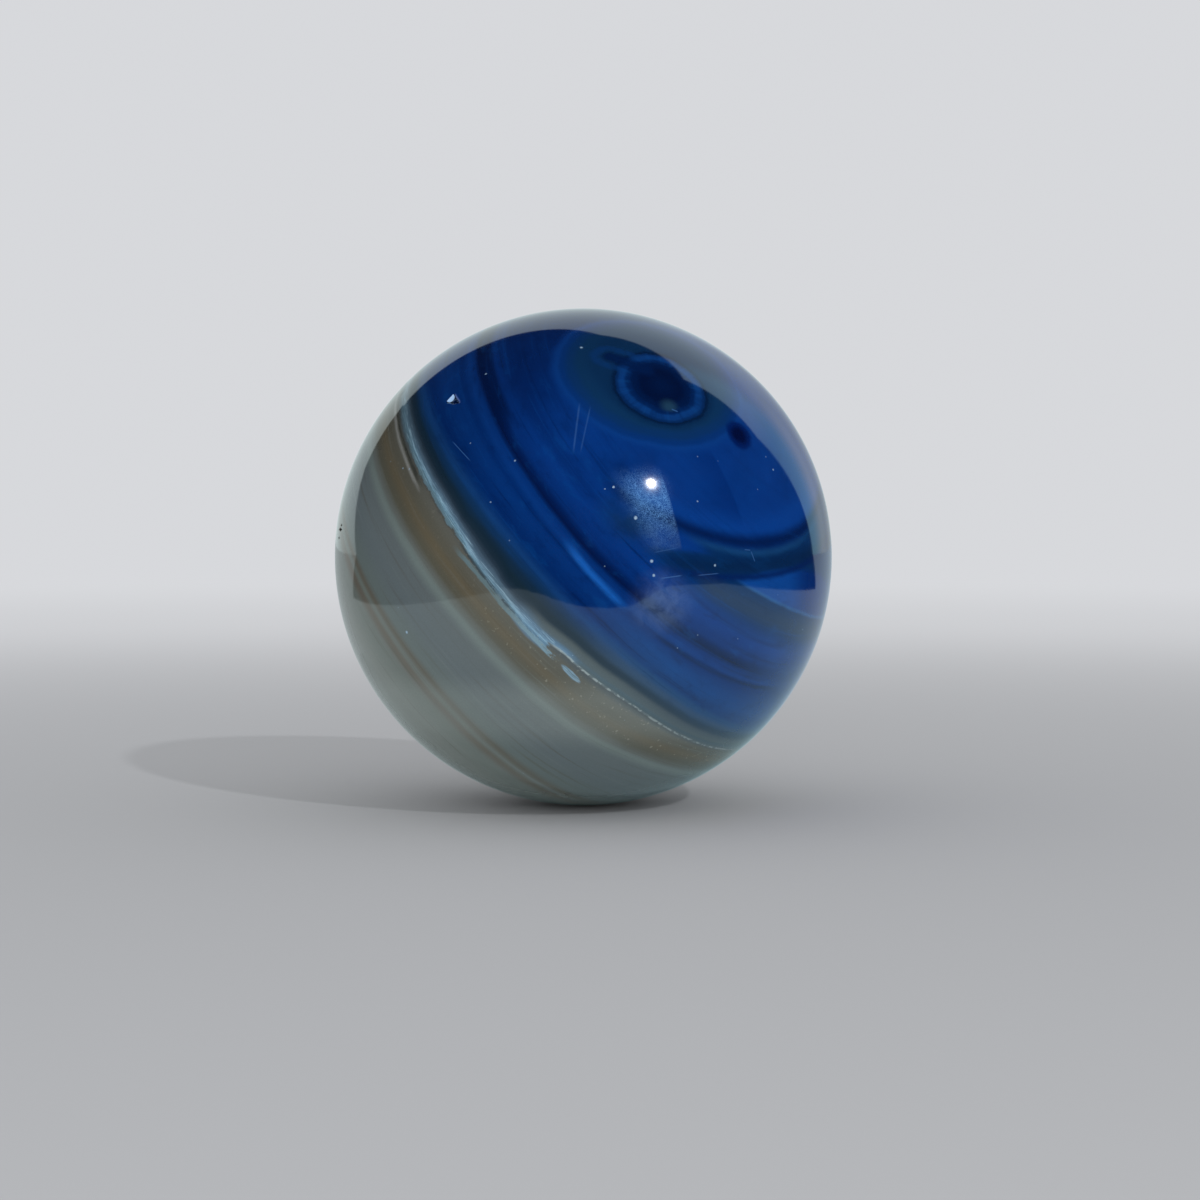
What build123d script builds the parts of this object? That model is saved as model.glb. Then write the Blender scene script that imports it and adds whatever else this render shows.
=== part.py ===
"""A polished ball of banded agate, in millimetres, with the small natural pits that its polish has opened.

The origin is the ball's centre, +Z is up and -Y is the front. A place on the ball is given by its turn, in degrees
to the right of the front, and its rise, in degrees above the middle.
"""

from build123d import *
import math
import os

# The ball
ball_diameter = 50.0

# The walls of every pit slope in to a flat floor, which has this share of its mouth's size.
pit_floor_share = 0.55

# The chip high on the left of the front. Its corners are to the right of and above its middle, along the surface.
chip_turn = -38.3
chip_rise = 37.6
chip_depth = 0.30
chip_peak = (-0.31, 0.75)
chip_left_foot = (-0.80, -0.34)
chip_belly = (0.30, -0.66)
chip_right_foot = (1.16, -0.49)

# The pinhole through the chip's floor, by its left foot
pinhole_left = 0.38
pinhole_drop = 0.17
pinhole_diameter = 0.20
pinhole_depth = 0.55

# The slit far round on the left, which runs level
slit_turn = -74.0
slit_rise = 6.6
slit_length = 1.80
slit_width = 0.42
slit_depth = 0.24

# The two dimples above and below the slit
dimple_length = 0.80
dimple_width = 0.32
dimple_depth = 0.12
upper_dimple_turn = -73.2
upper_dimple_rise = 7.6
lower_dimple_turn = -74.7
lower_dimple_rise = 4.7

ball_radius = ball_diameter / 2


def touching_plane(turn, rise):
    """The plane that touches the ball at a place, with local X to the right and local Y up."""
    turn, rise = math.radians(turn), math.radians(rise)
    outwards = Vector(math.sin(turn) * math.cos(rise), -math.cos(turn) * math.cos(rise), math.sin(rise))
    sideways = Vector(math.cos(turn), math.sin(turn), 0)
    return Plane(origin=outwards * ball_radius, x_dir=sideways, z_dir=outwards)


def lozenge(length, width):
    """The four corners of a pit with pointed ends."""
    return (-length / 2, 0), (0, -width / 2), (length / 2, 0), (0, width / 2)


with BuildPart() as agate_ball:
    # The ball is a half disc turned about the upright axis.
    with BuildSketch(Plane.XZ):
        with BuildLine():
            ThreePointArc((0, -ball_radius), (ball_radius, 0), (0, ball_radius))
            Line((0, ball_radius), (0, -ball_radius))
        make_face()
    revolve(axis=Axis.Z)

    # Each pit runs from its mouth in the touching plane to its floor, which has the mouth's shape at a smaller size.
    for turn, rise, depth, corners in (
        (chip_turn, chip_rise, chip_depth, (chip_peak, chip_left_foot, chip_belly, chip_right_foot)),
        (slit_turn, slit_rise, slit_depth, lozenge(slit_length, slit_width)),
        (upper_dimple_turn, upper_dimple_rise, dimple_depth, lozenge(dimple_length, dimple_width)),
        (lower_dimple_turn, lower_dimple_rise, dimple_depth, lozenge(dimple_length, dimple_width)),
    ):
        place = touching_plane(turn, rise)
        for drop, share in ((0, 1), (depth, pit_floor_share)):
            with BuildSketch(place.offset(-drop)):
                with BuildLine():
                    Polyline(*((x * share, y * share) for x, y in corners), close=True)
                make_face()
        loft(mode=Mode.SUBTRACT)

    # The pinhole starts in the chip's touching plane and goes on through its floor.
    with BuildSketch(touching_plane(chip_turn, chip_rise)):
        with Locations((-pinhole_left, -pinhole_drop)):
            Circle(pinhole_diameter / 2)
    extrude(amount=-pinhole_depth, mode=Mode.SUBTRACT)

agate_ball.part.label = "agate_ball"
os.makedirs("parts", exist_ok=True)
export_step(agate_ball.part, "parts/agate_ball.step")
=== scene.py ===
"""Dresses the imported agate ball: its polished surface with the small natural pits, and its banded stone.

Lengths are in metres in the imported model's frame, with +Z up and -Y the front. The stone's pattern is laid
out in its own frame, where the ball's radius is 1, X is to the right, Y is up and Z points at whoever looks
at its face.
"""

import bmesh
import bpy
import math
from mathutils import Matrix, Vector, noise


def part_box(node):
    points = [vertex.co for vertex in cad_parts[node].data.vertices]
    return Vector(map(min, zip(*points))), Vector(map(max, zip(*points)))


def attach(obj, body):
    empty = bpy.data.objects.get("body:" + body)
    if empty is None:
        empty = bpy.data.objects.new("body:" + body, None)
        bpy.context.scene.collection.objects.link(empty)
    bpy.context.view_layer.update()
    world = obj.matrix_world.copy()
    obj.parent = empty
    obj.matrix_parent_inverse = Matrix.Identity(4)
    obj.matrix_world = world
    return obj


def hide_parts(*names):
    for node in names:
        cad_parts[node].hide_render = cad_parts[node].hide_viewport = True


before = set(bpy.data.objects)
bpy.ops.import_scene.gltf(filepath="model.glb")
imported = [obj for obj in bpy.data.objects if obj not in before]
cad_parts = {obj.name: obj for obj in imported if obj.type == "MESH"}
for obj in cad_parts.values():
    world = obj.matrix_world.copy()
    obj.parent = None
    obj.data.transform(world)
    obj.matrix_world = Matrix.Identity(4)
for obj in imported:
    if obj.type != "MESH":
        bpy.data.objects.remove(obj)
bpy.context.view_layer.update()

# The ball, a hair smaller than its packed box
box_slack = 0.000002
lowest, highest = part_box("agate_ball")
ball_radius = min(high - low for low, high in zip(lowest, highest)) / 2 - box_slack
seat_height = lowest[2]

# The pits, by their turn to the right of the front and their rise above the middle, in degrees
pit_floor_share = 0.55
dimple = dict(depth=0.00012, corners=((-0.00040, 0), (0, -0.00016), (0.00040, 0), (0, 0.00016)))
chip = dict(turn=-38.3, rise=37.6, depth=0.00030,
            corners=((-0.00031, 0.00075), (-0.00080, -0.00034), (0.00030, -0.00066), (0.00116, -0.00049)))
slit = dict(turn=-74.0, rise=6.6, depth=0.00024,
            corners=((-0.00090, 0), (0, -0.00021), (0.00090, 0), (0, 0.00021)))
upper_dimple = dict(turn=-73.2, rise=7.6, **dimple)
lower_dimple = dict(turn=-74.7, rise=4.7, **dimple)
pinhole = dict(left=0.00038, drop=0.00017, radius=0.00010, depth=0.00055)

# The pits' broken walls are uneven by these shares of their depth, in lumps this many to the metre.
pit_lumps = ((2600, 0.16), (7000, 0.07))
pinhole_flare = 1.25
pinhole_wall = 0.00004

# How finely the ball is divided, and how far round the seam and the pits it is divided further
ball_fineness = 7
pit_rounds = 3
seam_reach = 0.028
pit_margin = 0.0003
pinhole_margin = 0.00022

# The seam is softer than the rest, so the polish dips into it, and deeper where its lower left side frays.
seam_dip, seam_dip_half = 0.000012, 0.020
fray_dip, fray_start, fray_end = 0.00006, 0.10, 0.006
fray_middle, fray_half = -0.012, 0.014

# How far the stone leans back, in degrees. Its layers lie square to one direction and run along the other.
stone_tilt = 1.17
bedding = Vector((0.694, 0.644, 0.322)).normalized()
along = Vector((0.681, -0.733, 0.0)).normalized()
seam_facing = Vector((0.714, 0.627, 0.311)).normalized()
right, left, upwards, downwards = (1, 0, 0), (-1, 0, 0), (0, 1, 0), (0, -1, 0)


# Shaping the ball

def facing_place(turn, rise):
    """The directions out of, to the right of and up along the ball at a place on it."""
    turn, rise = math.radians(turn), math.radians(rise)
    outwards = Vector((math.sin(turn) * math.cos(rise), -math.cos(turn) * math.cos(rise), math.sin(rise)))
    sideways = Vector((math.cos(turn), math.sin(turn), 0))
    return outwards, sideways, outwards.cross(sideways)


def seen(point):
    """A point of the ball in the stone's own frame."""
    tilt = math.radians(stone_tilt)
    x, y, z = point / ball_radius
    return Vector((x, y * math.sin(tilt) + z * math.cos(tilt), z * math.sin(tilt) - y * math.cos(tilt)))


def refine(shape, wanted, rounds):
    """Halves the edges that lie in the wanted part of the ball, as many times as asked."""
    for _ in range(rounds):
        edges = [edge for edge in shape.edges if wanted((edge.verts[0].co + edge.verts[1].co) / 2)]
        bmesh.ops.subdivide_edges(shape, edges=edges, cuts=1, use_grid_fill=True)
        bmesh.ops.triangulate(shape, faces=[face for face in shape.faces if len(face.verts) > 3])
        for vertex in shape.verts:
            vertex.co = vertex.co.normalized() * ball_radius


def wall_share(corners, across, up):
    """How far down a pit's sloped wall a place is, from 0 at its mouth to 1 at its floor."""
    share = 1.0
    for (x0, y0), (x1, y1) in zip(corners, corners[1:] + corners[:1]):
        outwards = Vector((y1 - y0, x0 - x1)).normalized()
        mouth = outwards.dot(Vector((x0, y0)))
        share = min(share, (mouth - outwards.dot(Vector((across, up)))) / (mouth * (1 - pit_floor_share)))
    return max(share, 0.0)


def pit_drop(pit, point):
    """How far a pit takes the surface in at a point."""
    outwards, sideways, uphill = facing_place(pit["turn"], pit["rise"])
    if outwards.dot(point) < 0.99 * ball_radius:
        return 0.0
    across, up = point.dot(sideways), point.dot(uphill)
    share = wall_share(pit["corners"], across, up)
    drop = pit["depth"] * share
    if share > 0:
        drop *= 1 + sum(noise.noise(point * scale) * amount for scale, amount in pit_lumps)
    if pit is chip:
        away = math.hypot(across + pinhole["left"], up + pinhole["drop"])
        hole_share = (pinhole["radius"] * pinhole_flare - away) / pinhole_wall
        drop = max(drop, pinhole["depth"] * min(1.0, max(0.0, hole_share)))
    return max(drop, 0.0)


def seam_drop(point):
    """How far the softer seam, and the fine crack that carries it on, lie under the polish."""
    place = seen(point)
    off = place.dot(seam_facing)
    if abs(off) > seam_reach:
        return 0.0
    fray = noise.noise(place * 26) * 0.5 + noise.noise(place * 70) * 0.5
    drop = seam_dip * max(0.0, 1 - abs(off) / seam_dip_half)
    if off < fray_end:
        drop += fray_dip * max(0.0, fray - fray_start) * max(0.0, 1 - abs(off - fray_middle) / fray_half)
    return drop


shape = bmesh.new()
bmesh.ops.create_icosphere(shape, subdivisions=ball_fineness, radius=ball_radius)
pits = (chip, slit, upper_dimple, lower_dimple)
refine(shape, lambda point: abs(seen(point).dot(seam_facing)) < seam_reach, 1)
for pit in pits:
    middle = facing_place(pit["turn"], pit["rise"])[0] * ball_radius
    reach = max(math.hypot(x, y) for x, y in pit["corners"]) + pit_margin
    refine(shape, lambda point: (point - middle).length < reach, pit_rounds)
outwards, sideways, uphill = facing_place(chip["turn"], chip["rise"])
pinhole_middle = outwards * ball_radius - sideways * pinhole["left"] - uphill * pinhole["drop"]
refine(shape, lambda point: (point - pinhole_middle).length < pinhole_margin, 1)
for vertex in shape.verts:
    point = vertex.co.copy()
    drop = max([pit_drop(pit, point) for pit in pits] + [seam_drop(point)])
    vertex.co = point.normalized() * (ball_radius - drop)
for face in shape.faces:
    face.smooth = True
ball_mesh = bpy.data.meshes.new("polished_ball")
shape.to_mesh(ball_mesh)
shape.free()
ball = bpy.data.objects.new("polished_ball", ball_mesh)
bpy.context.scene.collection.objects.link(ball)


# The tools for the stone's colours

def shade(red, green, blue):
    """A colour as it is seen, each part from 0 to 255, for a shader's socket."""
    def linear(part):
        part /= 255
        return part / 12.92 if part <= 0.04045 else ((part + 0.055) / 1.055) ** 2.4
    return linear(red), linear(green), linear(blue), 1.0


class Workbench:
    """Adds nodes to one tree and joins them up. It takes numbers, vectors and the outputs of other nodes."""

    def __init__(self, tree):
        self.tree = tree

    def add(self, kind, sockets=(), **settings):
        """Adds a node, with its settings and what goes into its sockets."""
        node = self.tree.nodes.new(kind)
        for name, setting in settings.items():
            setattr(node, name, setting)
        for place, given in dict(sockets).items():
            if isinstance(given, bpy.types.NodeSocket):
                self.tree.links.new(given, node.inputs[place])
            else:
                node.inputs[place].default_value = given
        return node

    def maths(self, operation, *given):
        return self.add("ShaderNodeMath", dict(enumerate(given)), operation=operation).outputs[0]

    def plus(self, first, second):
        return self.maths("ADD", first, second)

    def minus(self, first, second):
        return self.maths("SUBTRACT", first, second)

    def times(self, first, *others):
        for other in others:
            first = self.maths("MULTIPLY", first, other)
        return first

    def times_plus(self, first, second, third):
        return self.maths("MULTIPLY_ADD", first, second, third)

    def vectors(self, operation, *given):
        node = self.add("ShaderNodeVectorMath", dict(enumerate(given)), operation=operation)
        return node.outputs["Value" if operation in ("DOT_PRODUCT", "LENGTH", "DISTANCE") else "Vector"]

    def dot(self, place, facing):
        return self.vectors("DOT_PRODUCT", place, facing)

    def distance(self, place, other):
        return self.vectors("DISTANCE", place, other)

    def scaled(self, vector, amount):
        node = self.add("ShaderNodeVectorMath", {"Vector": vector, "Scale": amount}, operation="SCALE")
        return node.outputs[0]

    def joined(self, x, y, z):
        return self.add("ShaderNodeCombineXYZ", {"X": x, "Y": y, "Z": z}).outputs[0]

    def parted(self, vector):
        return self.add("ShaderNodeSeparateXYZ", {"Vector": vector}).outputs

    def spread(self, given, start, end, low=0.0, high=1.0, smooth=True):
        """Takes a value from one span to another, and no further."""
        return self.add("ShaderNodeMapRange",
                        {"Value": given, "From Min": start, "From Max": end, "To Min": low, "To Max": high},
                        interpolation_type="SMOOTHSTEP" if smooth else "LINEAR").outputs["Result"]

    def band(self, given, start, full, fade, end):
        """A mask that is full from one value to another and runs out beyond them."""
        return self.times(self.spread(given, start, full), self.spread(given, end, fade))

    def near(self, given, middle, outer, inner, low=0.0, high=1.0):
        """A mask that grows as a value comes near its middle."""
        off = self.maths("ABSOLUTE", self.minus(given, middle))
        return self.spread(off, outer, inner, low, high)

    def lay(self, under, over, *masks):
        """Lays one colour over another where all the masks say."""
        sockets = {0: self.times(*masks), 6: under, 7: over}
        return self.add("ShaderNodeMix", sockets, data_type="RGBA", clamp_factor=True).outputs[2]

    def grain(self, place, scale, detail=3.0, roughness=0.55, distortion=0.0):
        """Noise over the stone: its value, and its colour as three values."""
        node = self.add("ShaderNodeTexNoise", {"Vector": place, "Scale": scale, "Detail": detail,
                                               "Roughness": roughness, "Distortion": distortion})
        return node.outputs["Fac"], node.outputs["Color"]

    def ramp(self, given, stops):
        """Colours by a value, from stops in rising order."""
        node = self.add("ShaderNodeValToRGB", {"Fac": given})
        node.color_ramp.interpolation = "EASE"
        while len(node.color_ramp.elements) < len(stops):
            node.color_ramp.elements.new(0.5)
        for element, (position, colour) in zip(node.color_ramp.elements, stops):
            element.position = position
        for element, (position, colour) in zip(node.color_ramp.elements, stops):
            element.color = colour
        return node.outputs["Color"]

    def use(self, group, **sockets):
        """The mask of a node group. Its inputs are given by their names in small letters."""
        inputs = {name.replace("_", " ").capitalize(): given for name, given in sockets.items()}
        return self.add("ShaderNodeGroup", inputs, node_tree=group).outputs["Mask"]


def new_group(name, vectors, values):
    """A node group that takes some vectors and values and puts out one mask."""
    group = bpy.data.node_groups.new(name, "ShaderNodeTree")
    for socket in vectors:
        group.interface.new_socket(name=socket, in_out="INPUT", socket_type="NodeSocketVector")
    for socket in values:
        group.interface.new_socket(name=socket, in_out="INPUT", socket_type="NodeSocketFloat")
    group.interface.new_socket(name="Mask", in_out="OUTPUT", socket_type="NodeSocketFloat")
    bench = Workbench(group)
    given = bench.add("NodeGroupInput").outputs
    return group, bench, given, bench.add("NodeGroupOutput").inputs["Mask"]


def make_sheet():
    """One thin layer: the flat sheet that faces a direction, at a reach from the ball's middle."""
    group, bench, given, mask = new_group("thin_sheet", ("Place", "Facing"), ("Reach", "Width", "Feather"))
    off = bench.maths("ABSOLUTE", bench.minus(bench.dot(given["Place"], given["Facing"]), given["Reach"]))
    half = bench.times(given["Width"], 0.5)
    outer = bench.plus(half, given["Feather"])
    inner = bench.maths("MAXIMUM", bench.minus(half, given["Feather"]), 0.0)
    group.links.new(bench.spread(off, outer, inner), mask)
    return group


def make_side():
    """The stone beyond such a sheet."""
    group, bench, given, mask = new_group("beyond_sheet", ("Place", "Facing"), ("Reach", "Feather"))
    off = bench.minus(bench.dot(given["Place"], given["Facing"]), given["Reach"])
    group.links.new(bench.spread(off, bench.times(given["Feather"], -1.0), given["Feather"]), mask)
    return group


def make_streak():
    """A short straight mark: the sheet through its ends, up to half its length from its middle."""
    group, bench, given, mask = new_group("short_streak", ("Place", "Facing", "Middle"),
                                          ("Width", "Half length"))
    off = bench.maths("ABSOLUTE", bench.dot(given["Place"], given["Facing"]))
    away = bench.distance(given["Place"], given["Middle"])
    near = bench.spread(away, given["Half length"], bench.times(given["Half length"], 0.6))
    group.links.new(bench.times(bench.spread(off, given["Width"], 0.0), near), mask)
    return group


sheet, beyond, streak = make_sheet(), make_side(), make_streak()


# The stone

stone = bpy.data.materials.new("polished_agate")
stone.use_nodes = True
stone.node_tree.nodes.clear()
bench = Workbench(stone.node_tree)

# The stone's own frame, then the same frame with the gentle waves that its layers follow. They grow towards
# the back.
object_place = bench.add("ShaderNodeTexCoord").outputs["Object"]
to_stone = {"Vector": object_place, "Scale": (1 / ball_radius,) * 3,
            "Rotation": (math.radians(stone_tilt - 90), 0, 0)}
centred = bench.add("ShaderNodeMapping", to_stone).outputs["Vector"]
level, depthwards = bench.parted(centred)["Y"], bench.parted(centred)["Z"]
broad = bench.vectors("SUBTRACT", bench.grain(centred, 1.7, 2.0)[1], (0.5, 0.5, 0.5))
broad = bench.scaled(broad, bench.spread(depthwards, 0.35, -0.5, 0.008, 0.16))
fine = bench.scaled(bench.vectors("SUBTRACT", bench.grain(centred, 11.0, 3.0)[1], (0.5, 0.5, 0.5)), 0.006)
place = bench.vectors("ADD", bench.vectors("ADD", centred, broad), fine)

# How far across the layers a place is, from -1 at the low left to 1 at the upper right, and how far along
# them. The layers lean and bow a little.
across = bench.dot(place, bedding)
run = bench.dot(place, along)
lean = bench.spread(across, -0.50, -0.30, 0.050, 0.0, smooth=False)
bow = bench.times(bench.spread(across, 0.20, 0.34, -0.045, 0.035), bench.spread(across, 0.04, 0.09))
hook = bench.times(bench.band(across, -0.32, -0.22, -0.02, 0.03), bench.spread(run, 0.38, 0.85, 0.0, 0.040))
shift = bench.minus(bench.times(run, lean), bench.times(bow, bench.times(run, run)))
across = bench.plus(across, bench.minus(shift, hook))

layers = (
    (-1.00, shade(96, 102, 98)),
    (-0.72, shade(106, 112, 108)),
    (-0.58, shade(98, 106, 102)),
    (-0.535, shade(92, 88, 80)),
    (-0.510, shade(98, 106, 102)),
    (-0.485, shade(88, 86, 78)),
    (-0.450, shade(90, 101, 101)),
    (-0.340, shade(88, 98, 102)),
    (-0.228, shade(88, 97, 100)),
    (-0.184, shade(101, 113, 112)),
    (-0.158, shade(90, 95, 92)),
    (-0.130, shade(80, 79, 69)),
    (-0.085, shade(88, 82, 67)),
    (-0.050, shade(82, 81, 72)),
    (-0.010, shade(84, 85, 79)),
    (0.020, shade(72, 80, 84)),
    (0.050, shade(40, 58, 72)),
    (0.085, shade(20, 38, 50)),
    (0.115, shade(17, 39, 60)),
    (0.140, shade(14, 44, 78)),
    (0.168, shade(14, 53, 104)),
    (0.190, shade(5, 42, 96)),
    (0.205, shade(1, 35, 91)),
    (0.268, shade(3, 43, 104)),
    (0.290, shade(1, 37, 96)),
    (0.316, shade(5, 47, 111)),
    (0.331, shade(3, 42, 104)),
    (0.352, shade(1, 17, 60)),
    (0.366, shade(1, 25, 74)),
    (0.392, shade(3, 40, 102)),
    (0.450, shade(4, 46, 113)),
    (1.000, shade(5, 46, 112)),
)
colour = bench.ramp(bench.spread(across, -1.0, 1.0, 0.0, 1.0, smooth=False),
                    [((reach + 1) / 2, tint) for reach, tint in layers])

# Low on the right the dark layer beside the seam runs out into greyer blue. The navy one fades there, and
# darkens high on the left.
run_out = bench.ramp(across, (
    (0.05, shade(66, 80, 88)),
    (0.10, shade(54, 70, 88)),
    (0.15, shade(46, 70, 98)),
    (0.18, shade(26, 64, 108)),
    (0.20, shade(11, 52, 106)),
    (0.25, shade(9, 58, 118)),
))
run_out_mask = bench.band(across, 0.035, 0.07, 0.24, 0.30)
colour = bench.lay(colour, run_out, run_out_mask, bench.spread(run, 0.08, 0.50, 0.0, 0.9))
faded = bench.band(across, 0.325, 0.35, 0.385, 0.41)
colour = bench.lay(colour, shade(5, 45, 106), faded, bench.spread(run, 0.66, 0.86, 0.0, 0.75))
navy_end = bench.band(across, 0.345, 0.360, 0.392, 0.418)
colour = bench.lay(colour, shade(0, 17, 58), navy_end, bench.spread(run, -0.50, -0.62, 0.0, 0.85))

# Cloud in the blue heart
heart = bench.spread(across, 0.38, 0.48)
cloud = bench.grain(place, 2.6, 4.0, 0.5, 0.6)[0]
colour = bench.lay(colour, shade(10, 62, 138), bench.spread(cloud, 0.50, 0.78, 0, 0.65), heart)
colour = bench.lay(colour, shade(0, 26, 74), bench.spread(cloud, 0.47, 0.22, 0, 0.7), heart)
colour = bench.lay(colour, shade(0, 26, 78), bench.spread(run, -0.34, -0.70, 0, 0.85), heart)


def line(colour, tint, facing, reach, width, feather, strength=1.0, limits=()):
    """Lays one thin layer over the stone where it is past every limit: a direction, a reach and a feather."""
    mask = bench.use(sheet, place=place, facing=facing, reach=reach, width=width, feather=feather)
    return bench.lay(colour, tint, mask, strength, *(past(*limit) for limit in limits))


def past(facing, reach, feather):
    """The stone beyond a sheet, or short of it where the feather is negative."""
    side = bench.use(beyond, place=place, facing=facing, reach=reach, feather=abs(feather))
    return side if feather > 0 else bench.minus(1.0, side)


# The bright run of the light line, the soft streak beyond the dark one, and a dark patch in the heart
colour = line(colour, shade(20, 84, 164), (0.632, 0.500, 0.592), 0.579, 0.014, 0.012, 0.95,
              ((along, -0.055, 0.06), (-along, -0.22, 0.05)))
colour = line(colour, shade(2, 32, 88), bedding, 0.482, 0.030, 0.028, 0.6,
              ((-along, 0.12, 0.10), (along, -0.66, 0.08)))
from_patch = bench.distance(place, (0.165, 0.165, 0.972))
colour = bench.lay(colour, shade(10, 42, 82), bench.spread(from_patch, 0.15, 0.05, 0, 0.9),
                   bench.spread(cloud, 0.40, 0.52, 0.5, 1.0))

# The right-hand layers, which bend away from the others round the blue heart
right_hand = ((bedding, 0.50, 0.05), (downwards, -0.26, 0.08))
arc_facing, arc_reach = Vector((0.503, 0.622, 0.600)).normalized(), 0.795
teal = bench.times(past(arc_facing, arc_reach, -0.010), past(right, 0.44, 0.05))
teal = bench.maths("MAXIMUM", teal, past((0.225, 0.911, 0.345), 0.424, -0.014))
colour = bench.lay(colour, shade(5, 40, 84), teal, *(past(*limit) for limit in right_hand))
colour = line(colour, shade(4, 31, 66), (0.185, 0.935, 0.302), 0.323, 0.050, 0.030, 0.85, right_hand)
colour = line(colour, shade(18, 62, 106), arc_facing, arc_reach, 0.010, 0.012, 0.70,
              (*right_hand, (right, 0.40, 0.06)))
colour = line(colour, shade(7, 56, 130), (0.422, 0.699, 0.577), 0.784, 0.040, 0.034, 0.65, right_hand)
colour = line(colour, shade(1, 23, 68), (0.464, 0.689, 0.557), 0.762, 0.024, 0.018, 0.95, right_hand)

# The paler pool below them, with its dark upper line and its pale lower one, and the dark lines below it
pool_top, pool_top_reach = Vector((-0.481, 0.802, -0.356)).normalized(), -0.635
pool_foot, pool_foot_reach = Vector((0.570, 0.806, 0.159)).normalized(), 0.385
pool_colour = bench.lay(shade(9, 62, 134), shade(2, 38, 102), past(right, 0.815, 0.055))
colour = bench.lay(colour, pool_colour, past(pool_foot, pool_foot_reach, 0.008),
                   past(pool_top, pool_top_reach, -0.014), past(right, 0.50, 0.05), 0.9)
colour = line(colour, shade(2, 27, 78), (0.323, 0.828, 0.458), 0.497, 0.016, 0.012, 0.85, right_hand)
colour = line(colour, shade(30, 48, 78), (0.538, 0.831, 0.145), 0.285, 0.062, 0.026, 0.80,
              ((right, 0.44, 0.06), (-pool_foot, -pool_foot_reach, 0.006)))
colour = line(colour, shade(38, 90, 146), pool_foot, pool_foot_reach, 0.006, 0.008, 0.50,
              ((right, 0.60, 0.05),))
colour = line(colour, shade(1, 32, 88), (0.736, 0.495, 0.461), 0.644, 0.008, 0.008, 0.60,
              ((right, 0.39, 0.05), (left, -0.76, 0.05)))
colour = line(colour, shade(0, 24, 70), (0.678, 0.626, 0.385), 0.357, 0.012, 0.010, 0.85,
              ((right, 0.27, 0.05), (left, -0.74, 0.06)))


def drawn_out(across_scale, other_scale):
    """The place for a grain that is drawn out along the layers."""
    return bench.joined(bench.times(across, across_scale), bench.times(run, other_scale),
                        bench.times(depthwards, other_scale))


# Fine threads along the layers, and soft mottling of the blue ones
thread_place = bench.joined(bench.times(across, 60.0), bench.times(run, 1.6), depthwards)
threads = bench.grain(thread_place, 1.0, 3.0, 0.6)[0]
mottle = bench.grain(drawn_out(26.0, 9.0), 1.0, 5.0, 0.62, 0.3)[0]
blue_side = bench.times(bench.spread(across, 0.10, 0.20), bench.spread(across, 0.75, 0.45, 0.35, 1.0))
grey_side = bench.spread(across, 0.0, -0.04)
for tint, grain, start, end, strength, side in (
    (shade(6, 62, 132), threads, 0.55, 0.75, 0.24, blue_side),
    (shade(0, 20, 60), threads, 0.45, 0.25, 0.45, blue_side),
    (shade(112, 122, 122), threads, 0.55, 0.85, 0.40, grey_side),
    (shade(72, 67, 56), threads, 0.45, 0.20, 0.45, grey_side),
    (shade(8, 70, 136), mottle, 0.54, 0.72, 0.20, blue_side),
    (shade(0, 22, 68), mottle, 0.48, 0.28, 0.36, blue_side),
):
    colour = bench.lay(colour, tint, bench.spread(grain, start, end, 0.0, strength), side)

# A faint crease in the heart, darker on its right
crease = Vector((0.482, 0.381, 0.789)).cross(Vector((0.587, 0.145, 0.797))).normalized() * -1
crease_off = bench.dot(place, crease)
colour = bench.lay(colour, shade(0, 32, 92), bench.spread(crease_off, -0.006, 0.006),
                   bench.spread(crease_off, 0.16, 0.0, 0.0, 0.5), past(upwards, 0.14, 0.05),
                   past(downwards, -0.40, 0.05))

# The eye: a dark centre, a scalloped ring and an olive rim, high on the right. A dark inlet runs out of it to
# the left, inside a softer ring of its own.
eye_middle, rim_middle = (0.293, 0.646, 0.705), (0.267, 0.707, 0.654)
inlet_start, inlet_end = Vector((0.235, 0.705, 0.669)), Vector((0.100, 0.757, 0.646))
scallop = bench.grain(centred, 9.5, 3.0, 0.6)[0]
scallop = bench.spread(scallop, 0.25, 0.75, -0.008, 0.008, smooth=False)
eye_off = bench.plus(bench.distance(place, eye_middle), scallop)
inlet = inlet_end - inlet_start
inlet_off = bench.vectors("SUBTRACT", place, inlet_start)
inlet_share = bench.spread(bench.dot(inlet_off, inlet.normalized()), 0.0, inlet.length, 0.0, inlet.length,
                           smooth=False)
inlet_off = bench.vectors("SUBTRACT", inlet_off, bench.scaled(inlet.normalized(), inlet_share))
inlet_off = bench.plus(bench.vectors("LENGTH", inlet_off), scallop)
rim_off = bench.plus(bench.distance(place, rim_middle), bench.times(scallop, 0.8))
rim_colour = bench.ramp(bench.spread(rim_off, 0.0, 0.5, 0.0, 1.0, smooth=False), (
    (0.00, shade(6, 38, 72)),
    (0.44, shade(7, 39, 74)),
    (0.56, shade(9, 44, 80)),
    (0.64, shade(7, 43, 89)),
    (0.70, shade(4, 43, 101)),
    (0.74, shade(6, 50, 115)),
    (0.80, shade(4, 45, 110)),
))
colour = bench.lay(colour, rim_colour, bench.spread(rim_off, 0.41, 0.365))
eye_colour = bench.ramp(bench.spread(eye_off, 0.0, 0.25, 0.0, 1.0, smooth=False), (
    (0.00, shade(0, 18, 56)),
    (0.30, shade(0, 13, 48)),
    (0.44, shade(0, 20, 60)),
    (0.53, shade(1, 29, 76)),
    (0.59, shade(7, 50, 108)),
    (0.645, shade(7, 48, 104)),
    (0.69, shade(4, 36, 82)),
    (0.735, shade(2, 24, 56)),
    (0.800, shade(6, 36, 70)),
))
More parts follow.
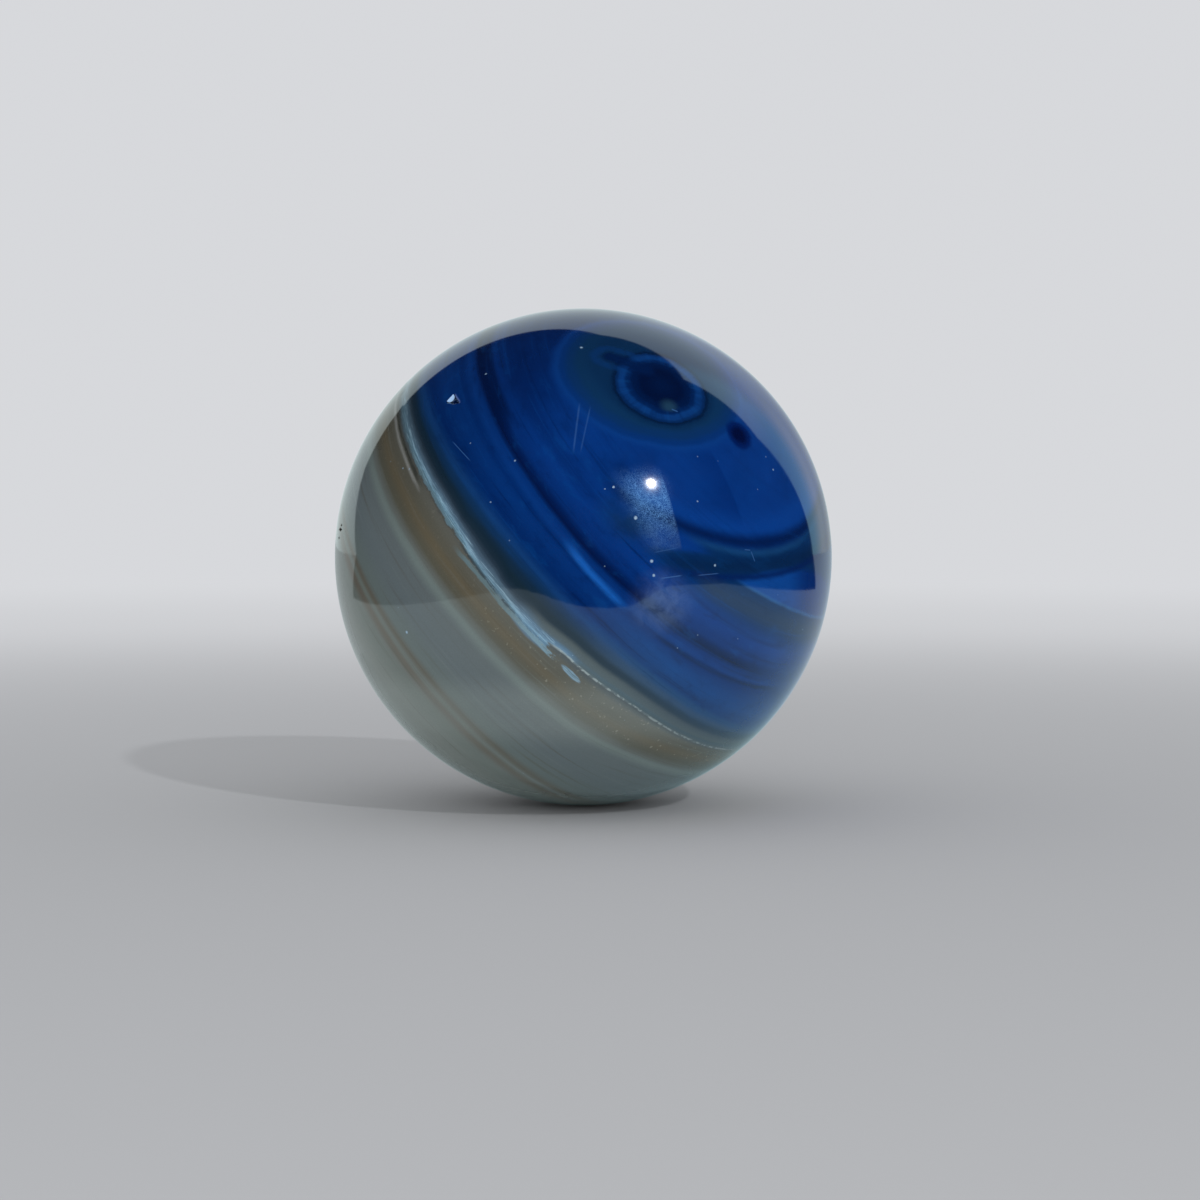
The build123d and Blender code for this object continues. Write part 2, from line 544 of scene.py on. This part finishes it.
colour = bench.lay(colour, eye_colour, bench.spread(eye_off, 0.225, 0.190))
rays_out = bench.vectors("NORMALIZE", bench.vectors("SUBTRACT", place, eye_middle))
rays_out = bench.grain(rays_out, 3.6, 5.0, 0.7, 0.8)[0]
on_ring = bench.near(eye_off, 0.148, 0.036, 0.012)
colour = bench.lay(colour, shade(14, 68, 128), bench.spread(rays_out, 0.50, 0.66, 0, 0.30), on_ring)
colour = bench.lay(colour, shade(0, 24, 66), bench.spread(rays_out, 0.50, 0.34, 0, 0.40), on_ring)
colour = bench.lay(colour, shade(7, 48, 102), bench.near(inlet_off, 0.056, 0.030, 0.004, 0.0, 0.6),
                   bench.spread(mottle, 0.36, 0.60, 0.45, 1.0), bench.spread(eye_off, 0.115, 0.150))
colour = bench.lay(colour, shade(0, 22, 64), bench.spread(inlet_off, 0.046, 0.014, 0.0, 0.9))
# A pale crystal inside the eye, its brightness partly a painted glint
crystal_and_painted_glint = bench.spread(bench.distance(place, (0.320, 0.562, 0.763)), 0.050, 0.006, 0.0, 0.45)
colour = bench.lay(colour, shade(40, 76, 96), crystal_and_painted_glint, bench.spread(eye_off, 0.135, 0.115))

# The dark spot beside it
spot_off = bench.plus(bench.distance(place, (0.586, 0.462, 0.666)), scallop)
colour = bench.lay(colour, shade(0, 24, 80), bench.spread(spot_off, 0.070, 0.046))
colour = bench.lay(colour, shade(0, 6, 44), bench.spread(spot_off, 0.050, 0.018, 0, 0.9))

# The seam wanders across its plane and is wider on its upper right side. It frays on the other side, breaks
# up low down and is carried on by a dotted crack.
fray = bench.grain(drawn_out(70.0, 26.0), 1.0, 5.0, 0.7, 0.4)[0]
fibres = bench.grain(drawn_out(190.0, 11.0), 1.0, 4.0, 0.65)[0]
uneven = bench.minus(fray, 0.5)
seam_path = bench.spread(run, -0.85, -0.42, 0.006, 0.014)
for start, end, shift in ((-0.40, -0.28, -0.014), (0.06, 0.24, 0.020), (0.25, 0.55, 0.020)):
    seam_path = bench.plus(seam_path, bench.spread(run, start, end, 0.0, shift))
off_seam = bench.dot(place, seam_facing)
off_path = bench.minus(off_seam, seam_path)
left_width = bench.plus(bench.spread(run, -0.46, -0.30, 1.15, 0.60),
                        bench.spread(run, -0.10, 0.02, 0.0, 0.50))
right_width = bench.spread(run, -0.80, -0.50, 0.85, 1.05)
for start, end, change in ((-0.42, -0.30, 0.50), (-0.20, -0.12, -0.35), (-0.08, 0.02, 0.30)):
    right_width = bench.plus(right_width, bench.spread(run, start, end, 0.0, change))
seam_side = bench.maths("MINIMUM", bench.maths("DIVIDE", off_path, right_width),
                        bench.maths("DIVIDE", off_path, left_width))
ragged = bench.times(uneven, bench.spread(seam_side, 0.010, -0.012, 0.006, 0.034))
seam_colour = bench.ramp(bench.spread(bench.plus(seam_side, ragged), -0.05, 0.07, 0.0, 1.0, smooth=False), (
    (0.000, shade(84, 83, 76)),
    (0.125, shade(84, 84, 78)),
    (0.185, shade(72, 74, 72)),
    (0.235, shade(86, 109, 119)),
    (0.330, shade(88, 117, 133)),
    (0.385, shade(104, 138, 158)),
    (0.417, shade(120, 154, 176)),
    (0.450, shade(106, 138, 160)),
    (0.500, shade(80, 105, 126)),
    (0.560, shade(67, 86, 104)),
    (0.620, shade(51, 67, 82)),
    (0.680, shade(36, 50, 64)),
    (0.750, shade(24, 40, 54)),
    (0.875, shade(18, 36, 50)),
))

# Along its length the seam is darker at the top, bluer and then greyer low down, fuller where it dips, and
# olive on its right.
seam_colour = bench.lay(seam_colour, shade(62, 80, 92), bench.spread(run, -0.66, -0.84, 0, 0.60),
                        bench.spread(seam_side, 0.030, 0.005))
seam_colour = bench.lay(seam_colour, shade(92, 130, 162), bench.spread(run, -0.06, 0.06, 0, 0.50),
                        bench.spread(seam_side, 0.035, 0.015))
seam_colour = bench.lay(seam_colour, shade(80, 96, 102), bench.spread(run, 0.20, 0.30),
                        bench.spread(seam_side, 0.045, 0.0))
seam_colour = bench.lay(seam_colour, shade(82, 108, 126), bench.band(run, -0.26, -0.15, -0.09, -0.04),
                        bench.spread(seam_side, 0.026, 0.010, 0.0, 0.60))
seam_colour = bench.lay(seam_colour, shade(84, 94, 94), bench.spread(run, -0.06, 0.12, 0.0, 0.80),
                        bench.band(seam_side, 0.010, 0.020, 0.030, 0.046))
run_frayed = bench.times_plus(uneven, 0.14, run)
unbroken = bench.spread(run_frayed, 0.165, 0.130)
halo = bench.spread(run, 0.18, 0.95, 0.80, 0.40)
kept = bench.times_plus(bench.spread(seam_side, -0.003, 0.003), bench.minus(halo, unbroken), unbroken)
colour = bench.lay(colour, seam_colour, bench.band(seam_side, -0.042, -0.030, 0.050, 0.068), kept)

# Its fibres, the paler streak along its lower left side and the dark flakes between the two
in_seam = bench.times(bench.near(seam_side, -0.002, 0.024, 0.008), unbroken)
colour = bench.lay(colour, shade(156, 190, 208), bench.spread(fibres, 0.50, 0.70, 0, 0.5), in_seam)
colour = bench.lay(colour, shade(60, 84, 100), bench.spread(fibres, 0.48, 0.28, 0, 0.7), in_seam)
streak_path = bench.plus(bench.spread(run, -0.34, -0.22, -0.040, -0.027),
                         bench.spread(run, -0.10, 0.15, 0.0, 0.006))
off_streak = bench.minus(bench.times_plus(uneven, 0.016, off_seam), streak_path)
streak_colour = bench.lay(shade(90, 110, 116), shade(108, 137, 152), bench.spread(run, -0.10, 0.10))
colour = bench.lay(colour, streak_colour, bench.spread(run, -0.37, -0.27),
                   bench.spread(run_frayed, 0.200, 0.170), bench.near(off_streak, 0.0, 0.0125, 0.0055),
                   bench.spread(fibres, 0.34, 0.50, 0.45, 1.0))
flakes = bench.use(sheet, place=place, facing=seam_facing, reach=-0.014, width=0.009, feather=0.005)
flaking = bench.spread(bench.times_plus(run, -0.3, fray), 0.47, 0.55, 0.0, 0.9)
colour = bench.lay(colour, shade(54, 64, 70), flakes, bench.spread(run, 0.05, -0.08, 0.35, 1.0), unbroken,
                   bench.spread(run, -0.38, -0.28), flaking)

# The thin line beside its upper end, and the dark gap between them
upper_end = bench.spread(bench.times_plus(uneven, 0.1, run), -0.58, -0.66)
gap = bench.use(sheet, place=place, facing=seam_facing, reach=-0.031, width=0.016, feather=0.006)
colour = bench.lay(colour, shade(42, 44, 40), gap, bench.spread(fibres, 0.30, 0.55, 1.0, 0.6), upper_end)
beside = bench.use(sheet, place=place, facing=seam_facing, reach=-0.048, width=0.010, feather=0.007)
colour = bench.lay(colour, shade(122, 124, 122), beside, upper_end,
                   bench.spread(fibres, 0.34, 0.52, 0.5, 1.0))

# The crack, with pale flecks in the brown layer beside it
dots = bench.spread(bench.grain(centred, 52.0, 2.0, 0.5)[0], 0.44, 0.58, 0.20, 1.0)
dots = bench.maths("MAXIMUM", dots, bench.spread(run, 0.30, 0.20, 0.0, 0.7))
crack = bench.near(bench.times_plus(uneven, 0.008, off_path), 0.0, 0.0062, 0.0015)
colour = bench.lay(colour, shade(158, 172, 174), crack, dots, bench.spread(run, 0.13, 0.19),
                   bench.spread(run, 0.3, 0.9, 0.65, 0.35))
flecks = bench.spread(bench.grain(centred, 62.0, 2.0, 0.5)[0], 0.64, 0.72, 0.0, 0.45)
colour = bench.lay(colour, shade(142, 142, 128), flecks, bench.near(across, -0.06, 0.09, 0.05),
                   bench.spread(run, -0.25, 0.25, 0.15, 1.0))


def front(x, y):
    """The place on the stone's face this far to the right and up."""
    return Vector((x, y, math.sqrt(1 - x * x - y * y)))


# Specks: a sprinkling all over, and the larger ones on the face
tone = bench.grain(centred, 170.0, 2.0, 0.6)[0]
cells = bench.add("ShaderNodeTexVoronoi", {"Vector": centred, "Scale": 26.0}, feature="F1").outputs
cell_value = bench.add("ShaderNodeSeparateColor", {0: cells["Color"]}).outputs[0]
specks = bench.times(bench.spread(cells["Distance"], 0.09, 0.04, 0.0, 0.45),
                     bench.maths("GREATER_THAN", cell_value, 0.94))
for speck, size in (
    ((-0.251, 0.354), 0.8), ((-0.340, 0.202), 0.7), ((-0.369, 0.693), 0.9), ((-0.008, 0.794), 1.1),
    ((-0.664, -0.281), 1.1), ((0.248, -0.014), 1.1), ((0.256, -0.066), 1.0), ((0.484, -0.030), 0.9),
    ((0.190, 0.144), 1.2), ((0.110, 0.256), 0.9), ((0.078, 0.249), 0.7), ((0.419, 0.206), 0.7),
    ((-0.419, 0.423), 0.7), ((-0.680, 0.336), 0.8), ((-0.654, 0.332), 0.8), ((0.719, 0.332), 0.8),
):
    from_speck = bench.times_plus(tone, 0.004, bench.distance(centred, front(*speck)))
    mask = bench.spread(from_speck, 0.0090 * size, 0.0045 * size, 0.0, min(1.0, size))
    specks = bench.maths("MAXIMUM", specks, mask)

# The pale sliver that has broken off the seam, with the specks laid over it
from_sliver = bench.distance(place, front(-0.047, -0.428))
thinner = bench.times(bench.plus(off_seam, 0.021), 4.2)
sliver_off = bench.maths("SQRT", bench.times_plus(from_sliver, from_sliver, bench.times(thinner, thinner)))
sliver_off = bench.times_plus(uneven, 0.024, sliver_off)
sliver_colour = bench.lay(shade(92, 118, 132), shade(122, 152, 172), bench.spread(fibres, 0.38, 0.62))
colour = bench.lay(colour, sliver_colour, bench.spread(sliver_off, 0.056, 0.040, 0.0, 0.9))
colour = bench.lay(colour, shade(146, 176, 202), specks, 0.75)

# Fine scuffs round the brightest part of the polish, coloured as their painted sparkle in the sun, a smear
# that runs down from it, paler and bluer towards the glint as painted glare, and a smudge lower still.
# The smear's sides are planes through the ball's middle, so it is kept to the front.
from_glint = bench.distance(centred, (0.248, 0.270, 0.930))
smear = bench.times(bench.spread(level, 0.34, 0.24), bench.spread(depthwards, 0.0, 0.2))
for start, end, soft in (((0.278, 0.330), (0.358, 0.038), 0.005), ((0.358, 0.038), (0.247, 0.014), 0.018),
                         ((0.247, 0.014), (0.203, 0.100), 0.045), ((0.203, 0.100), (0.150, 0.245), 0.060)):
    edge = front(*end).cross(front(*start)).normalized()
    smear = bench.times(smear, bench.use(beyond, place=centred, facing=edge, reach=0.0, feather=soft))
curls = bench.near(bench.grain(centred, 78.0, 3.0, 0.6, 2.2)[0], 0.5, 0.050, 0.008)
from_sparkle_middle = bench.distance(centred, (0.230, 0.246, 0.941))
# Painted sparkle: the scuffs light up only round the glint
scuffs_and_painted_sparkle = bench.times(curls, bench.spread(from_sparkle_middle, 0.115, 0.025, 0.0, 0.48))
smeared_scuffs_and_sparkle = bench.times(curls, smear, bench.spread(from_glint, 0.26, 0.06, 0.10, 0.85))
scuffs_and_painted_sparkle = bench.maths("MAXIMUM", scuffs_and_painted_sparkle, smeared_scuffs_and_sparkle)
wiped = bench.grain(centred, 16.0, 5.0, 0.7, 0.5)[0]
# The smear is on the polish; its paler, bluer top and its strength near the glint are painted glare
smear_and_glare_colour = bench.lay(shade(62, 86, 114), shade(60, 110, 172), bench.spread(from_glint, 0.22, 0.05))
colour = bench.lay(colour, smear_and_glare_colour, smear, bench.spread(wiped, 0.32, 0.66, 0.25, 1.0),
                   bench.spread(from_glint, 0.24, 0.05, 0.26, 0.50))
# Painted sparkle of the scuffs round the glint
colour = bench.lay(colour, shade(92, 144, 204), scuffs_and_painted_sparkle)
smudge = bench.spread(bench.distance(centred, front(0.285, -0.165)), 0.15, 0.03)
colour = bench.lay(colour, shade(104, 128, 172), smudge, bench.spread(wiped, 0.30, 0.70, 0.06, 0.26))

# The grey stone is paler in a band low down, which is painted light from below, and all of it is a little
# darker high on the left, which is painted shade. The fine random tone is the stone's own.
# Painted light from below on the grey stone's low band
colour = bench.lay(colour, shade(142, 152, 150), bench.band(level, -0.74, -0.62, -0.54, -0.42),
                   bench.spread(across, 0.05, 0.0, 0.0, 0.24))
# Painted shade high on the left, with the stone's own random tone
painted_upper_left_shade = bench.times(bench.spread(run, -0.35, -0.72, 0.0, 0.20), bench.spread(across, -0.3, -0.1))
tone_and_painted_shade = bench.minus(bench.spread(tone, 0.2, 0.8, 0.93, 1.07, smooth=False), painted_upper_left_shade)
colour = bench.scaled(colour, tone_and_painted_shade)


def mark(start, end, width):
    """A short scratch between two places on the stone's face, each by how far it is to the right and up."""
    start, end = front(*start), front(*end)
    return bench.use(streak, place=centred, facing=start.cross(end).normalized(), middle=(start + end) / 2,
                     width=width, half_length=(end - start).length / 2)


scratches = 0.0
for start, end, width, strength in (
    ((-0.013, 0.579), (-0.038, 0.373), 0.0060, 0.5),
    ((0.028, 0.567), (-0.013, 0.373), 0.0050, 0.4), ((-0.491, 0.435), (-0.413, 0.351), 0.0030, 0.8),
    ((0.596, 0.029), (0.622, 0.026), 0.0030, 0.9), ((0.622, 0.025), (0.639, -0.019), 0.0034, 0.9),
    ((0.277, -0.078), (0.365, -0.066), 0.0030, 0.8), ((0.414, -0.067), (0.504, -0.059), 0.0026, 0.7),
    ((0.252, 0.016), (0.352, 0.037), 0.0030, 0.5), ((0.326, 0.552), (0.353, 0.541), 0.0045, 1.0),
):
    scratches = bench.maths("MAXIMUM", scratches, bench.times(mark(start, end, width), strength))
colour = bench.lay(colour, shade(52, 100, 160), scratches, 0.6)

# The broken stone in the pits: dark in the depths, which is painted shade, and pale on the chip's left wall
# and along its right lip, a fresh break's own paleness with a painted highlight over it
sunk = bench.minus(1.0, bench.vectors("LENGTH", centred))
far_left = bench.maths("LESS_THAN", bench.dot(centred, right), -0.85)
by_chip = bench.spread(bench.distance(centred, front(-0.490, 0.600)), 0.060, 0.054)
# Painted shade: the slit and dimples on the far left, and the chip, darken with their depth
colour = bench.lay(colour, shade(10, 12, 14), bench.spread(sunk, 0.0012, 0.0040), far_left)
colour = bench.lay(colour, shade(0, 16, 52), bench.spread(sunk, 0.0008, 0.0030), by_chip)
# Painted highlight on the chip's pale left wall and along its lips, over the break's own paler stone
painted_lit_pale_wall = bench.spread(mark((-0.518, 0.588), (-0.490, 0.619), 0.0150), 0.15, 0.45)
colour = bench.lay(colour, shade(160, 194, 234), painted_lit_pale_wall, bench.spread(sunk, 0.0002, 0.0012))
colour = bench.lay(colour, shade(78, 100, 160), mark((-0.489, 0.620), (-0.462, 0.580), 0.0060), 0.75)
colour = bench.lay(colour, shade(84, 116, 130), mark((-0.516, 0.581), (-0.493, 0.586), 0.0040), 0.6)
# Painted shade: the pinhole is near black in its depth
colour = bench.lay(colour, shade(2, 4, 8), bench.spread(sunk, 0.0125, 0.0140), by_chip)

# The polish, duller in the specks and scratches, which are a little sunk
agate_ior = 1.54
relief_depth = 0.0001
haze = bench.grain(centred, 7.0, 5.0, 0.65)[0]
roughness = bench.spread(haze, 0.35, 0.75, 0.045, 0.085)
roughness = bench.plus(bench.plus(roughness, bench.times(specks, 0.25)), bench.times(scratches, 0.2))
polish = bench.grain(centred, 420.0, 2.0)[0]
relief = bench.plus(bench.times(polish, 0.006), bench.times(specks, -0.4))
relief = bench.plus(relief, bench.times(scratches, -0.2))
bump = bench.add("ShaderNodeBump", {"Height": relief, "Strength": 0.35, "Distance": relief_depth})
surface = bench.add("ShaderNodeBsdfPrincipled", {"Base Color": colour, "Roughness": roughness,
                                                 "Normal": bump.outputs["Normal"], "IOR": agate_ior})
bench.add("ShaderNodeOutputMaterial", {"Surface": surface.outputs["BSDF"]})
ball_mesh.materials.append(stone)

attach(ball, "root")
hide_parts("agate_ball")


# The floor, the lights and the camera

floor_half_size = 4.0
floor_gap = 0.00002
backdrop_tone = (0.68, 0.69, 0.715, 1)
gloom_tone = (0.014, 0.020, 0.026, 1)

shape = bmesh.new()
bmesh.ops.create_grid(shape, x_segments=1, y_segments=1, size=floor_half_size)
bmesh.ops.translate(shape, verts=shape.verts, vec=(0, 0, seat_height - floor_gap))
floor_mesh = bpy.data.meshes.new("pale_floor")
shape.to_mesh(floor_mesh)
shape.free()
floor = bpy.data.objects.new("pale_floor", floor_mesh)
bpy.context.scene.collection.objects.link(floor)

# In the ball's polish the floor reaches only as far as three edges, of which the front one is wavy, and gloom
# lies beyond them. The camera sees it turn into the backdrop far out.
pale = bpy.data.materials.new("pale_floor")
pale.use_nodes = True
pale.node_tree.nodes.clear()
bench = Workbench(pale.node_tree)
rays = bench.add("ShaderNodeLightPath").outputs
floor_place = bench.add("ShaderNodeTexCoord").outputs["Object"]
spot = bench.parted(floor_place)
far_out = bench.vectors("LENGTH", floor_place)
left_edge = bench.maths("MINIMUM", bench.times_plus(spot["Y"], -0.32, -0.1005), bench.times(spot["Y"], -1.33))
right_edge = bench.maths("MAXIMUM", bench.times_plus(spot["Y"], 0.10, 0.150), bench.times(spot["Y"], 1.21))
wave_length, wave_start = 0.142, math.radians(235)
wave = bench.maths("SINE", bench.times_plus(spot["X"], 2 * math.pi / wave_length, wave_start))
crumple = bench.grain(bench.joined(spot["X"], 0.0, 0.0), 60.0, 2.0)[0]
front_edge = bench.times_plus(wave, -0.018, bench.times_plus(crumple, 0.012, -0.101))
inside = bench.times(bench.spread(bench.minus(spot["X"], left_edge), -0.001, 0.001),
                     bench.spread(bench.minus(right_edge, spot["X"]), -0.001, 0.001),
                     bench.spread(bench.minus(spot["Y"], front_edge), -0.001, 0.001))
nearby = bench.lay((0.55, 0.66, 0.67, 1), (0.42, 0.67, 0.73, 1), bench.spread(spot["X"], -0.03, 0.03))
behind = bench.lay((0.54, 0.61, 0.63, 1), (0.56, 0.68, 0.76, 1), bench.spread(spot["X"], -0.02, 0.03))
glanced = bench.lay(behind, nearby, bench.spread(spot["Y"], 0.10, -0.04))
shown = bench.lay((0.47, 0.48, 0.50, 1), backdrop_tone, bench.spread(far_out, 0.06, 0.40))
tint = bench.lay((0.93, 0.935, 0.94, 1), glanced, rays["Is Glossy Ray"])
tint = bench.lay(tint, shown, rays["Is Camera Ray"])
board = bench.add("ShaderNodeBsdfDiffuse", {"Color": tint}).outputs[0]
gloom = bench.add("ShaderNodeEmission", {"Color": gloom_tone}).outputs[0]
backdrop = bench.add("ShaderNodeEmission", {"Color": backdrop_tone}).outputs[0]
hidden = bench.times(rays["Is Glossy Ray"], bench.minus(1.0, inside))
faded_out = bench.times(bench.spread(far_out, 0.20, 0.75), rays["Is Camera Ray"])
mixed = bench.add("ShaderNodeMixShader", {0: hidden, 1: board, 2: gloom}).outputs[0]
mixed = bench.add("ShaderNodeMixShader", {0: faded_out, 1: mixed, 2: backdrop}).outputs[0]
bench.add("ShaderNodeOutputMaterial", {"Surface": mixed})
floor_mesh.materials.append(pale)

# Round about, the camera sees a pale backdrop. The polish sees a bright panel behind the ball, whose left
# side draws in towards its top, and a dim room in front. Angles are in degrees, to the right of the back and
# above the level.
world = bpy.data.worlds.new("studio")
bpy.context.scene.world = world
world.use_nodes = True
world.node_tree.nodes.clear()
bench = Workbench(world.node_tree)
rays = bench.add("ShaderNodeLightPath").outputs
parts = bench.parted(bench.add("ShaderNodeTexCoord").outputs["Generated"])
round_about = bench.maths("DEGREES", bench.maths("ARCTAN2", parts["X"], parts["Y"]))
height = bench.maths("DEGREES", bench.maths("ARCSINE", parts["Z"]))
drawn_in = bench.maths("POWER", bench.maths("DIVIDE", bench.maths("MAXIMUM", height, 0.0), 56.0), 2.5)
panel_left = bench.times_plus(drawn_in, 47.0, bench.spread(height, 0.0, 14.0, -53.0, -41.5, smooth=False))
panel_right = bench.maths("MINIMUM", bench.times_plus(height, 0.43, 50.5),
                          bench.times_plus(height, -0.21, 70.5))
panel = bench.times(bench.spread(bench.minus(round_about, panel_left), -0.6, 0.6),
                    bench.spread(bench.minus(panel_right, round_about), -0.6, 0.6),
                    bench.spread(height, 57.0, 55.8))
duller = bench.times(bench.band(round_about, 6.0, 17.0, 27.0, 38.0), bench.spread(height, 32.0, 14.0))
panel_tone = bench.lay((0.70, 0.81, 0.82, 1), (0.50, 0.57, 0.60, 1), duller)
cooler = bench.lay((0.44, 0.80, 0.94, 1), (0.80, 1.12, 1.26, 1), bench.spread(height, 24.0, 38.0))
panel_tone = bench.lay(panel_tone, cooler, bench.spread(round_about, 36.0, 50.0))
reflected = bench.lay(gloom_tone, panel_tone, panel)
room_light = bench.lay((0.90, 0.90, 0.90, 1), (0.66, 0.66, 0.66, 1), bench.spread(height, 5.0, 65.0))
around = bench.lay(room_light, reflected, rays["Is Glossy Ray"])
around = bench.lay(around, backdrop_tone, rays["Is Camera Ray"])
background = bench.add("ShaderNodeBackground", {"Color": around, "Strength": 1.0})
bench.add("ShaderNodeOutputWorld", {"Surface": background.outputs[0]})


def add_lamp(name, kind, strength, direction, distance):
    """A lamp that shines at the ball from a direction."""
    lamp = bpy.data.lights.new(name, kind)
    lamp.energy = strength
    holder = bpy.data.objects.new(name, lamp)
    holder.location = direction * distance
    holder.rotation_euler = direction.to_track_quat("Z", "Y").to_euler()
    bpy.context.scene.collection.objects.link(holder)
    return holder


key = add_lamp("key", "SUN", 0.64, Vector((0.482, -0.691, 0.539)).normalized(), 1.0)
key.data.angle = math.radians(1.7)
fill = add_lamp("fill", "AREA", 1.3, Vector((0.1, -1, 0.04)).normalized(), 0.60)
fill.data.shape, fill.data.size = "DISK", 0.5
fill.visible_glossy = False

camera_place = (0, -0.23995, 0.0049)
camera_rise, camera_swing = 87.8, -0.398
optics = bpy.data.cameras.new("camera")
optics.sensor_width = 36.0
optics.lens = 71.19
optics.clip_start, optics.clip_end = 0.005, 20.0
camera = bpy.data.objects.new("camera", optics)
camera.location = camera_place
camera.rotation_euler = (math.radians(camera_rise), 0, math.radians(camera_swing))
bpy.context.scene.collection.objects.link(camera)
bpy.context.scene.camera = camera
bpy.context.scene.view_settings.view_transform = "Standard"
